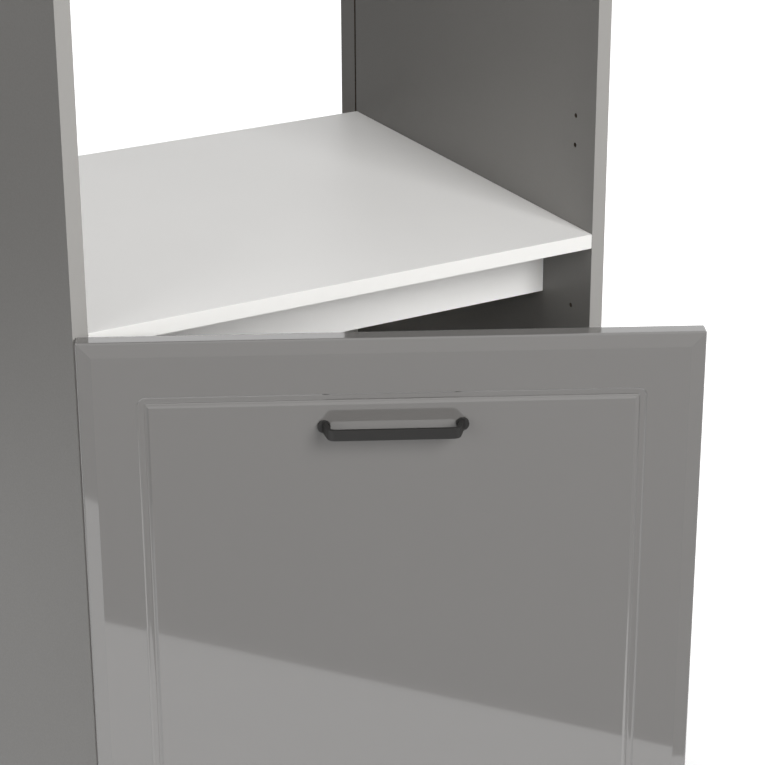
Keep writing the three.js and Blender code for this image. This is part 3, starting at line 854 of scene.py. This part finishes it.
def door_panel(prefix):
    """A door of routed MDF in gloss film: sloping margin, rounded edges, framed groove, cup pockets."""
    s = sizes()
    z0, z1 = door_span(prefix)
    x0, x1 = s.door_reveal, WIDTH - s.door_reveal
    back, front = -s.door_gap, door_front()
    drop = s.margin * math.tan(s.margin_slope)
    edge = s.door_edge * math.tan((math.pi / 2 - s.margin_slope) / 2)
    from_side = lambda p: min(abs(p.x - x0), abs(p.x - x1))
    from_end = lambda p: min(abs(p.z - z0), abs(p.z - z1))
    from_rim = lambda p: min(from_side(p), from_end(p))
    piece = block(prefix + "_door_panel", (x0, front, z0), (x1, back, z1))
    with editing(piece):
        pick_faces(piece, facing("Y", -1))
        inset(s.margin)
    with editing(piece, "VERT"):
        pick_points(piece, lambda p: p.y < front + 0.1 and from_rim(p) < 1)
        bpy.ops.transform.translate(value=(0, drop * MM, 0))
    with editing(piece, "EDGE"):
        corner = lambda p, run: abs(run.y) > 0.9 and max(from_side(p), from_end(p)) < 1
        front_rim = lambda p, run: abs(run.y) < 0.1 and abs(p.y - front - drop) < 0.1 and from_rim(p) < 0.1
        pick_edges(piece, lambda p, run: front_rim(p, run) or corner(p, run))
        round_edges(edge, 6, clamp_overlap=False)
        pick_edges(piece, lambda p, run: abs(run.y) < 0.1 and abs(p.y - back) < 0.1 and from_rim(p) < edge)
        round_edges(0.6, 3, clamp_overlap=False)
    with editing(piece):
        pick_faces(piece, lambda place, normal: normal.y < -0.999 and place.y < front + 0.2)
        bpy.ops.mesh.delete(type="ONLY_FACE")
    far = s.frame_inset
    patch = field_patch(x0 + far, x1 - far, z0 + far, z1 - far, front)
    piece = merge([piece, patch], piece.name)
    with editing(piece, "EDGE"):
        bpy.ops.mesh.select_non_manifold()
        bpy.ops.mesh.fill(use_beauty=True)
        bpy.ops.mesh.select_all(action="SELECT")
        bpy.ops.mesh.remove_doubles(threshold=0.002 * MM)
        bpy.ops.mesh.normals_make_consistent(inside=False)
    bore_door(piece, prefix, back, front)
    bared = lambda place, normal: place.y > back - 0.1 and normal.y > 0.9
    paint(piece, material("gloss_foil"), [(bared, material("grey_door_back"))])
    margin_line = lambda p: p.y < front + drop and min(abs(from_rim(p) - s.margin), abs(from_rim(p) - edge)) < 0.1
    mitre = lambda p, run: p.y < front + drop + 0.2 and 0.5 < abs(run.x) < 0.8 and 3 < from_rim(p) < s.margin
    smooth(piece, math.radians(30), lambda p, run: margin_line(p) or mitre(p, run))
    on_door(piece, prefix, "grey_gloss", prefix + "_door")


def bore_door(piece, prefix, back, front):
    """Cup pockets and handle screw holes."""
    tools = []
    for z in hinge_heights(prefix):
        tools.append(rod("pocket", "Y", POCKET_RADIUS, (CUP_X, back - POCKET_DEPTH, z), POCKET_DEPTH + 1, 64))
    for x in foot_places():
        start = (x, front - 1, handle_height(prefix))
        tools.append(rod("hole", "Y", SCREW_HOLE_RADIUS, start, back - front + 2, 24))
    for tool in tools:
        tool.data.materials.append(material("bare_mdf"))
    cut(piece, tools)


def on_door(piece, prefix, slot, node):
    """Carries a part that was modelled on the shut door to the door's place at rest, and dresses it."""
    dress(move(piece, opened(DOORS[prefix])), prefix + "_door", slot, node)


class CABINET_OT_doors(bpy.types.Operator):
    """Framed gloss doors"""

    bl_idname = "cabinet.doors"
    bl_label = "Doors"

    def execute(self, context):
        for prefix in DOORS:
            door_panel(prefix)
        return {"FINISHED"}


# -------- handles


def foot_places():
    half = sizes().handle_spacing / 2
    return WIDTH / 2 - half, WIDTH / 2 + half


def handle_height(prefix):
    z0, z1 = door_span(prefix)
    return z1 - sizes().handle_inset if prefix == "lower" else z0 + sizes().handle_inset


def spin(x, y, angle):
    """Carries the selected end round an upright line."""
    bpy.ops.mesh.spin(steps=8, angle=angle, center=spot(x, y, 0), axis=(0, 0, 1), use_normal_flip=False)


def bow_handle():
    """A flat strap bent into a bow on two round feet, modelled on the shut door at height zero."""
    s = sizes()
    left, right = foot_places()
    foot_radius, foot_height = 6.3, 3.5
    seat = door_front() - 0.3
    root = seat - foot_height / 2
    bar = door_front() - s.handle_proud + s.strap_thickness / 2
    # how far a leg leans in on its way out, and the radius of the bend between leg and bar
    lean, bend = 5.5, 6.0
    tilt = math.atan2(lean, root - bar)
    turn = math.pi / 2 - tilt
    setback = bend * math.tan(turn / 2)
    way = Vector((math.sin(tilt), -math.cos(tilt)))
    start = Vector((left, root))
    knee = Vector((left + lean, bar))
    before = knee - way * setback
    half, high = s.strap_thickness / 2, s.strap_height / 2
    # leg: a thin block on the foot, its end face carried along the bow
    leg = block("strap", (left - half, root - 1, -high), (left + half, root, high))
    with editing(leg):
        bpy.ops.mesh.select_all(action="SELECT")
        bpy.ops.transform.rotate(value=-tilt, orient_axis="Z", center_override=spot(left, root, 0))
        pick_faces(leg, facing("Y", -1))
        rise = before - start
        extrude(rise.x - way.x, rise.y - way.y, 0)
        spin(before.x - way.y * bend, before.y + way.x * bend, -turn)
        extrude(right - left - 2 * (lean + setback), 0, 0)
        spin(right - lean - setback, bar + bend, -turn)
        extrude(rise.x, -rise.y, 0)
        bpy.ops.mesh.select_all(action="SELECT")
        bpy.ops.mesh.remove_doubles(threshold=0.01 * MM)
        bpy.ops.mesh.normals_make_consistent(inside=False)
    soften(leg, 0.7, 3, math.radians(50))
    feet = []
    for x in (left, right):
        foot = rod("foot", "Y", foot_radius, (x, seat - foot_height, 0), foot_height, 48)
        soften(foot, 0.6, 3)
        feet.append(foot)
    return finished(merge([leg] + feet, "handle"), "black_powder_coat", math.radians(40))


def cross_screw(head_radius, head_height):
    """A pan head with a cross recess, modelled at zero with its head towards +Y."""
    head = rod("screw", "Y", head_radius, (0, 0, 0), head_height)
    with editing(head):
        pick_faces(head, facing("Y"))
        inset(head_radius * 0.3)
        bpy.ops.transform.translate(value=(0, head_height * 0.25 * MM, 0))
    soften(head, 0.3, 2)
    long, narrow = head_radius * 0.55, 0.5
    top = head_height * 1.3
    # the cross recess is lined with darker steel: painted shade in the slots
    for x, z in ((long, narrow), (narrow, long)):
        slot = block("slot", (-x, top - 1.6, -z), (x, top + 1, z))
        slot.data.materials.append(material("dark_recess_steel"))
        cut(head, [slot])
    return head


def handle_screw():
    """Machine screw through the door, seen from inside as a pan head. Its tip ends inside the handle's foot."""
    radius, length = 1.9, 22.3
    head = cross_screw(4.2, 1.8)
    shank = rod("shank", "Y", radius, (0, -length, 0), length + 0.5, 20)
    return finished(merge([head, shank], "screw"), "nickel_plated_steel")


class CABINET_OT_handles(bpy.types.Operator):
    """Bow handles and their screws"""

    bl_idname = "cabinet.handles"
    bl_label = "Handles"

    def execute(self, context):
        handle, screw = bow_handle(), handle_screw()
        for prefix in DOORS:
            z = handle_height(prefix)
            piece = copy_of(handle, prefix + "_bow_handle", shifted(0, 0, z))
            on_door(piece, prefix, "black_metal", prefix + "_handle")
            for side, x in zip(("left", "right"), foot_places()):
                node = f"{prefix}_handle_screw_{side}"
                piece = copy_of(screw, node + "_pan_head", shifted(x, -sizes().door_gap + 0.3, z))
                on_door(piece, prefix, "nickel_steel", node)
        bpy.data.objects.remove(handle)
        bpy.data.objects.remove(screw)
        return {"FINISHED"}


# -------- buffers


BUFFER_X = 592
BUFFER_RADIUS = 5
BUFFER_FROM_END = 40


class CABINET_OT_buffers(bpy.types.Operator):
    """Clear pads that a door shuts on"""

    bl_idname = "cabinet.buffers"
    bl_label = "Door buffers"

    def execute(self, context):
        outer = lambda p: math.hypot(p.x - BUFFER_X, p.z) > BUFFER_RADIUS - 0.5
        pad = rod("pad", "Y", BUFFER_RADIUS, (BUFFER_X, -sizes().door_gap + 0.15, 0), 1.5)
        with editing(pad):
            pick_faces(pad, facing("Y"))
            inset(1.2)
        with editing(pad, "EDGE"):
            pick_edges(pad, lambda p, run: p.y > -1 and abs(run.y) < 0.1 and outer(p))
            round_edges(0.9, 5)
        finished(pad, "clear_pad")
        for prefix in DOORS:
            z0, z1 = door_span(prefix)
            for end, z in (("bottom", z0 + BUFFER_FROM_END), ("top", z1 - BUFFER_FROM_END)):
                node = f"{prefix}_buffer_{end}"
                on_door(copy_of(pad, node + "_pad", shifted(0, 0, z)), prefix, "clear_buffer", node)
        bpy.data.objects.remove(pad)
        return {"FINISHED"}


# -------- hinges


def reworked(node, name, width):
    """A pressed part that keeps its node's form, with its edges rounded."""
    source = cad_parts[node]
    piece = bpy.data.objects.new(name, source.data.copy())
    bpy.context.scene.collection.objects.link(piece)
    with editing(piece):
        bpy.ops.mesh.select_all(action="SELECT")
        bpy.ops.mesh.remove_doubles(threshold=0.01 * MM)
        bpy.ops.mesh.dissolve_limited(angle_limit=math.radians(2))
    piece.data.materials.clear()
    soften(piece, width, 2, math.radians(30))
    return finished(piece, "nickel_plated_steel")


def hinge_cup():
    """Pressed cup: round bowl, flange with rounded ends and two screws, modelled shut at height zero."""
    back = -sizes().door_gap
    radius, wall, depth, floor = 17.2, 0.8, 12.9, 11.6
    seat, top = back + 0.3, back + 0.9
    near, far, end = 17, 38, 31
    screw_x, screw_z = 30, 24.5
    inside = lambda p: math.hypot(p.x - CUP_X, p.z) < radius - 0.6
    bowl = rod("bowl", "Y", radius, (CUP_X, back - depth, 0), depth + 0.3, 64)
    with editing(bowl):
        pick_faces(bowl, facing("Y"))
        inset(wall)
        extrude(0, -floor - 0.3, 0)
    with editing(bowl, "EDGE"):
        pick_edges(bowl, lambda p, run: abs(run.y) < 0.1 and abs(p.y - back + floor) < 0.3 and inside(p))
        round_edges(2, 4)
    flange = block("flange", (near, seat, -end), (far, top, end))
    with editing(flange, "EDGE"):
        pick_edges(flange, lambda p, run: abs(run.y) > 0.9)
        round_edges(6, 6)
    cut(flange, [rod("bore", "Y", radius - wall, (CUP_X, back - 1, 0), 4, 64)])
    soften(flange, 0.15, 1)
    screws = [move(cross_screw(3.8, 1.2), shifted(screw_x, top, z)) for z in (-screw_z, screw_z)]
    return finished(merge([bowl, flange] + screws, "cup"), "nickel_plated_steel")


def mounting_plate():
    """Pressed plate with rounded corners, a raised rib and two screws, at height zero."""
    face = INNER_LEFT + 2
    near, far, end = 20, 54, 24
    rib_near, rib_far, rib_side = 18, 64, 5.5
    base = block("plate", (INNER_LEFT, near, -end), (face, far, end))
    with editing(base, "EDGE"):
        pick_edges(base, lambda p, run: abs(run.x) > 0.9)
        round_edges(5, 5)
    soften(base, 0.4, 2)
    rib = block("rib", (INNER_LEFT + 0.5, rib_near, -rib_side), (face + 2, rib_far, rib_side))
    soften(rib, 0.6, 2)
    holes = (-SYSTEM_PITCH / 2, SYSTEM_PITCH / 2)
    pegs = [rod("peg", "X", PEG_RADIUS, (INNER_LEFT - 8, HOLE_SETBACK, z), 9, 20) for z in holes]
    screws = [move(cross_screw(4.2, 1.2), shifted(face, HOLE_SETBACK, z) @ turned(-math.pi / 2)) for z in holes]
    return finished(merge([base, rib] + pegs + screws, "plate"), "nickel_plated_steel")


class CABINET_OT_hinges(bpy.types.Operator):
    """Concealed hinges: plates, arms, links and cups"""

    bl_idname = "cabinet.hinges"
    bl_label = "Hinges"

    def execute(self, context):
        cup, plate = hinge_cup(), mounting_plate()
        for prefix in DOORS:
            for end, z in zip(("bottom", "top"), hinge_heights(prefix)):
                stem = f"{prefix}_hinge_{end}"
                piece = copy_of(cup, stem + "_pressed_cup", shifted(0, 0, z))
                on_door(piece, prefix, "nickel_steel", stem + "_cup")
                piece = copy_of(plate, stem + "_pressed_plate", shifted(0, 0, z))
                dress(piece, "carcass", "nickel_steel", stem + "_plate")
                for part, body, width in (
                    ("arm", "carcass", 0.6),
                    ("outer_link", prefix + "_outer_links", 0.3),
                    ("inner_link", prefix + "_inner_links", 0.3),
                ):
                    node = f"{stem}_{part}"
                    dress(reworked(node, node + "_pressed", width), body, "nickel_steel", node)
        bpy.data.objects.remove(cup)
        bpy.data.objects.remove(plate)
        return {"FINISHED"}


# -------- studio


def compute(tree, operation, first, second):
    return add(tree, "ShaderNodeMath", links={0: first, 1: second}, operation=operation).outputs[0]


def mirrored_rays(tree, path):
    """One for the rays that shiny and clear surfaces send out, else zero."""
    return compute(tree, "MAXIMUM", path.outputs["Is Glossy Ray"], path.outputs["Is Transmission Ray"])


def mix_shaders(tree, factor, first, second):
    return add(tree, "ShaderNodeMixShader", links={0: factor, 1: first, 2: second}).outputs[0]


def white_light(tree, kind, strength):
    """A white emission or background of a plain or computed strength."""
    source = add(tree, kind, {"Color": WHITE})
    put(source, "Strength", strength)
    return source.outputs[0]


def floor_finish():
    """Pale studio floor. The camera sees it lifted to white, but for the shadow close to the cabinet."""
    made, tree, shader, coords = new_material("studio_floor")
    grain = noise(tree, coords, 6, 3)
    put(shader, "Base Color", blend_colours(tree, grain, (0.68, 0.68, 0.68, 1), (0.74, 0.74, 0.74, 1)))
    put(shader, "Roughness", 0.9)
    path = add(tree, "ShaderNodeLightPath")
    away = add(tree, "ShaderNodeVectorMath", links={0: coords}, operation="LENGTH").outputs["Value"]
    lift = compute(tree, "MULTIPLY", path.outputs["Is Camera Ray"], spread(tree, away, 0.45, 0.9, 0.3, 1.0))
    lifted = white_light(tree, "ShaderNodeEmission", lift)
    both = add(tree, "ShaderNodeAddShader", links={0: shader.outputs["BSDF"], 1: lifted}).outputs[0]
    # what the gloss mirrors is painted light: the floor glows bright in front, dimmer far to the left there and from
    # the cabinet backwards
    x, y, _ = add(tree, "ShaderNodeSeparateXYZ", links={"Vector": coords}).outputs
    lit = compute(tree, "MAXIMUM", spread(tree, x, -1.65, -1.4, 0.75, 1.65), spread(tree, y, 0.0, 0.4, 0.75, 1.65))
    fade = compute(tree, "MULTIPLY", spread(tree, y, -0.3, 0.3, 1.0, 0.55), spread(tree, y, 1.2, 2.4, 1.0, 0.3))
    image = white_light(tree, "ShaderNodeEmission", compute(tree, "MULTIPLY", lit, fade))
    output = next(n for n in tree.nodes if n.bl_idname == "ShaderNodeOutputMaterial")
    put(output, "Surface", mix_shaders(tree, mirrored_rays(tree, path), both, image))
    return made


def studio_world(settings):
    """White for the camera, a lit room for reflections, less bright low in front, and even light for the rest."""
    world = bpy.data.worlds.new("studio")
    bpy.context.scene.world = world
    world.use_nodes = True
    tree = world.node_tree
    tree.nodes.clear()
    path = add(tree, "ShaderNodeLightPath")
    way = add(tree, "ShaderNodeTexCoord").outputs["Generated"]
    _, y, z = add(tree, "ShaderNodeSeparateXYZ", links={"Vector": way}).outputs
    level = compute(tree, "MAXIMUM", spread(tree, y, -0.25, 0.25, 0.7, 1.1), spread(tree, z, -0.15, 0.45, 0.7, 1.1))
    mirrored, even, white = (
        white_light(tree, "ShaderNodeBackground", strength) for strength in (level, settings.ambient, 1.0)
    )
    shine = mix_shaders(tree, mirrored_rays(tree, path), even, mirrored)
    final = mix_shaders(tree, path.outputs["Is Camera Ray"], shine, white)
    add(tree, "ShaderNodeOutputWorld", links={"Surface": final})


LAMP_DISTANCE, LAMP_SIZE = 4, 2
FLOOR_REAR, FLOOR_WIDTH = 8.0, 16

# The photograph's camera, fitted to corners that are seen in it: millimetres of the cabinet, degrees
CAMERA_PLACE = (-748.7, -1965.4, 1658.4)
CAMERA_TILT, CAMERA_TURN = 67.86, -29.45
CAMERA_SHIFT = (-0.0323, -0.05)


def soft_lamp(name, azimuth, elevation, power):
    """A square of soft light turned to the cabinet's middle. It shows in no reflection."""
    middle = Vector((0, 0, 1))
    a, e = math.radians(azimuth), math.radians(elevation)
    way = Vector((math.sin(a) * math.cos(e), -math.cos(a) * math.cos(e), math.sin(e)))
    deselect()
    bpy.ops.object.light_add(type="AREA", location=middle + way * LAMP_DISTANCE)
    lamp = bpy.context.object
    lamp.name = name
    lamp.data.shape = "SQUARE"
    lamp.data.size = LAMP_SIZE
    lamp.data.energy = power
    lamp.rotation_euler = way.to_track_quat("Z", "Y").to_euler()
    lamp.visible_camera = False
    lamp.visible_glossy = False


class CABINET_OT_studio(bpy.types.Operator):
    """Floor, lamps, world and camera"""

    bl_idname = "cabinet.studio"
    bl_label = "Studio"

    def execute(self, context):
        settings = context.scene.cabinet_studio
        deselect()
        front = spot(0, -settings.floor_front, 0).y
        bpy.ops.mesh.primitive_plane_add(size=1, location=(0, (front + FLOOR_REAR) / 2, 0))
        bpy.context.object.scale = (FLOOR_WIDTH, FLOOR_REAR - front, 1)
        floor = settle(bpy.context.object, "studio_floor")
        floor.data.materials.append(floor_finish())
        studio_world(settings)
        soft_lamp("front_lamp", 6, 25, settings.front)
        soft_lamp("left_lamp", -68, 10, settings.left)
        soft_lamp("right_lamp", 90, 10, settings.right)
        soft_lamp("back_lamp", 180, 30, settings.back)
        camera_data = bpy.data.cameras.new("photo_camera")
        camera = bpy.data.objects.new("photo_camera", camera_data)
        context.scene.collection.objects.link(camera)
        camera_data.sensor_width = 36
        camera_data.lens = settings.lens
        camera_data.shift_x, camera_data.shift_y = CAMERA_SHIFT
        camera.location = spot(*CAMERA_PLACE)
        camera.rotation_euler = (math.radians(CAMERA_TILT), 0, math.radians(CAMERA_TURN))
        context.scene.camera = camera
        context.scene.view_settings.view_transform = "Standard"
        return {"FINISHED"}


class CABINET_PT_sidebar(bpy.types.Panel):
    """Lists the cabinet's steps in the sidebar"""

    bl_idname = "CABINET_PT_sidebar"
    bl_label = "Cabinet"
    bl_space_type = "VIEW_3D"
    bl_region_type = "UI"
    bl_category = "Cabinet"

    def draw(self, context):
        for step in STEPS:
            self.layout.operator(step.bl_idname)
        for group in (context.scene.cabinet_sizes, context.scene.cabinet_colours, context.scene.cabinet_studio):
            box = self.layout.box()
            for key in group.__annotations__:
                box.prop(group, key)


STEPS = (
    CABINET_OT_studio,
    CABINET_OT_boards,
    CABINET_OT_fittings,
    CABINET_OT_doors,
    CABINET_OT_handles,
    CABINET_OT_buffers,
    CABINET_OT_hinges,
)
GROUPS = (CabinetSizes, CabinetColours, StudioSettings)


def register():
    for item in GROUPS + STEPS + (CABINET_PT_sidebar,):
        bpy.utils.register_class(item)
    bpy.types.Scene.cabinet_sizes = PointerProperty(type=CabinetSizes)
    bpy.types.Scene.cabinet_colours = PointerProperty(type=CabinetColours)
    bpy.types.Scene.cabinet_studio = PointerProperty(type=StudioSettings)


def unregister():
    del bpy.types.Scene.cabinet_studio
    del bpy.types.Scene.cabinet_colours
    del bpy.types.Scene.cabinet_sizes
    for item in reversed(GROUPS + STEPS + (CABINET_PT_sidebar,)):
        bpy.utils.unregister_class(item)


def main():
    register()
    bpy.ops.cabinet.studio()
    bpy.ops.cabinet.boards()
    bpy.ops.cabinet.fittings()
    bpy.ops.cabinet.doors()
    bpy.ops.cabinet.handles()
    bpy.ops.cabinet.buffers()
    bpy.ops.cabinet.hinges()


if __name__ == "__main__":
    main()
